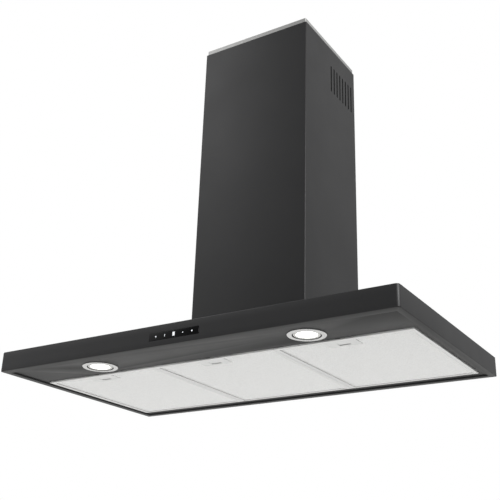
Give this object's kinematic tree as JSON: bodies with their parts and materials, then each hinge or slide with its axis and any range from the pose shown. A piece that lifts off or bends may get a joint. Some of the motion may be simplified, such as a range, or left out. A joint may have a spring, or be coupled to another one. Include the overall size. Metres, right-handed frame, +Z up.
{
  "type": "range hood",
  "caption": "Wall-hung chimney range hood: flat box canopy with touch control, lamps and hinged grease filters, a centrifugal blower, damper collar and telescoping chimney.",
  "frame": {"origin": "on the wall face of the motor box, midway between its two hanging keyholes", "axes": "+X to the right seen from the front, along the canopy; +Y into the wall; +Z up; the canopy's front faces -Y"},
  "size_m": [0.9, 0.5004, 0.8455],
  "materials": {
    "black_steel": "satin black powder coat",
    "filter_frame": "satin",
    "filter_mesh": "expanded mesh, bright",
    "lamp_bezel": "satin chrome",
    "lamp_lens": "frosted, lit",
    "alloy": "cast and rolled",
    "black_glass": "polished black glass panel",
    "black_plastic": "moulded",
    "grey_plastic": "moulded",
    "zinc_steel": "zinc coated",
    "circuit_board": "solder mask"
  },
  "bodies": {
    "hood": {"canopy_shell": "black_steel", "filter_tray": "black_steel", "tray_rail_left": "black_steel", "tray_rail_right": "black_steel", "lamp_bezel_left": "lamp_bezel", "lamp_bezel_right": "lamp_bezel", "lamp_lens_left": "lamp_lens", "lamp_lens_right": "lamp_lens", "lamp_module_left": "alloy", "lamp_module_right": "alloy", "lamp_driver": "grey_plastic", "control_glass": "black_glass", "control_holder": "black_plastic", "control_board": "circuit_board", "motor_box": "zinc_steel", "box_bolt_1": "zinc_steel", "box_bolt_2": "zinc_steel", "box_bolt_3": "zinc_steel", "box_bolt_4": "zinc_steel", "scroll_left": "black_plastic", "scroll_right": "black_plastic", "motor": "alloy", "motor_bracket": "zinc_steel", "capacitor": "grey_plastic", "duct_collar": "black_plastic", "damper_axle": "zinc_steel", "terminal_box": "black_plastic", "terminal_lid": "black_plastic", "terminal_strip": "grey_plastic", "cable_gland": "black_plastic", "lid_screw_1": "zinc_steel", "lid_screw_2": "zinc_steel", "chimney_cover": "black_steel", "chimney_bracket": "zinc_steel"},
    "filter_left": {"filter_frame_left": "filter_frame", "filter_mesh_left": "filter_mesh"},
    "latch_left": {"filter_latch_left": "filter_frame"},
    "filter_centre": {"filter_frame_centre": "filter_frame", "filter_mesh_centre": "filter_mesh"},
    "latch_centre": {"filter_latch_centre": "filter_frame"},
    "filter_right": {"filter_frame_right": "filter_frame", "filter_mesh_right": "filter_mesh"},
    "latch_right": {"filter_latch_right": "filter_frame"},
    "wheel": {"fan_wheel": "grey_plastic"},
    "flap_rear": {"damper_flap_rear": "alloy"},
    "flap_front": {"damper_flap_front": "alloy"},
    "extension": {"chimney_extension": "black_steel"}
  },
  "joints": [
    {"name": "filter_left_hinge", "type": "hinge", "parent": "hood", "child": "filter_left", "pos_m": [-0.28367, -0.0415, -0.2652], "axis": [1, 0, 0], "range_deg": [0, 75]},
    {"name": "latch_left_slide", "type": "slide", "parent": "filter_left", "child": "latch_left", "axis": [0, 1, 0], "range_m": [0, 0.005], "stiffness_N_per_m": 300, "springref_m": -0.004},
    {"name": "filter_centre_hinge", "type": "hinge", "parent": "hood", "child": "filter_centre", "pos_m": [0, -0.0415, -0.2652], "axis": [1, 0, 0], "range_deg": [0, 75]},
    {"name": "latch_centre_slide", "type": "slide", "parent": "filter_centre", "child": "latch_centre", "axis": [0, 1, 0], "range_m": [0, 0.005], "stiffness_N_per_m": 300, "springref_m": -0.004},
    {"name": "filter_right_hinge", "type": "hinge", "parent": "hood", "child": "filter_right", "pos_m": [0.28367, -0.0415, -0.2652], "axis": [1, 0, 0], "range_deg": [0, 75]},
    {"name": "latch_right_slide", "type": "slide", "parent": "filter_right", "child": "latch_right", "axis": [0, 1, 0], "range_m": [0, 0.005], "stiffness_N_per_m": 300, "springref_m": -0.004},
    {"name": "wheel_spin", "type": "hinge", "parent": "hood", "child": "wheel", "pos_m": [0, -0.119, -0.1109], "axis": [1, 0, 0], "continuous": true},
    {"name": "flap_rear_hinge", "type": "hinge", "parent": "hood", "child": "flap_rear", "pos_m": [0, -0.085, 0.0616], "axis": [1, 0, 0], "range_deg": [0, 75]},
    {"name": "flap_front_hinge", "type": "hinge", "parent": "hood", "child": "flap_front", "pos_m": [0, -0.085, 0.0616], "axis": [-1, 0, 0], "range_deg": [0, 75]},
    {"name": "extension_slide", "type": "slide", "parent": "hood", "child": "extension", "axis": [0, 0, 1], "range_m": [0, 0.4]}
  ]
}
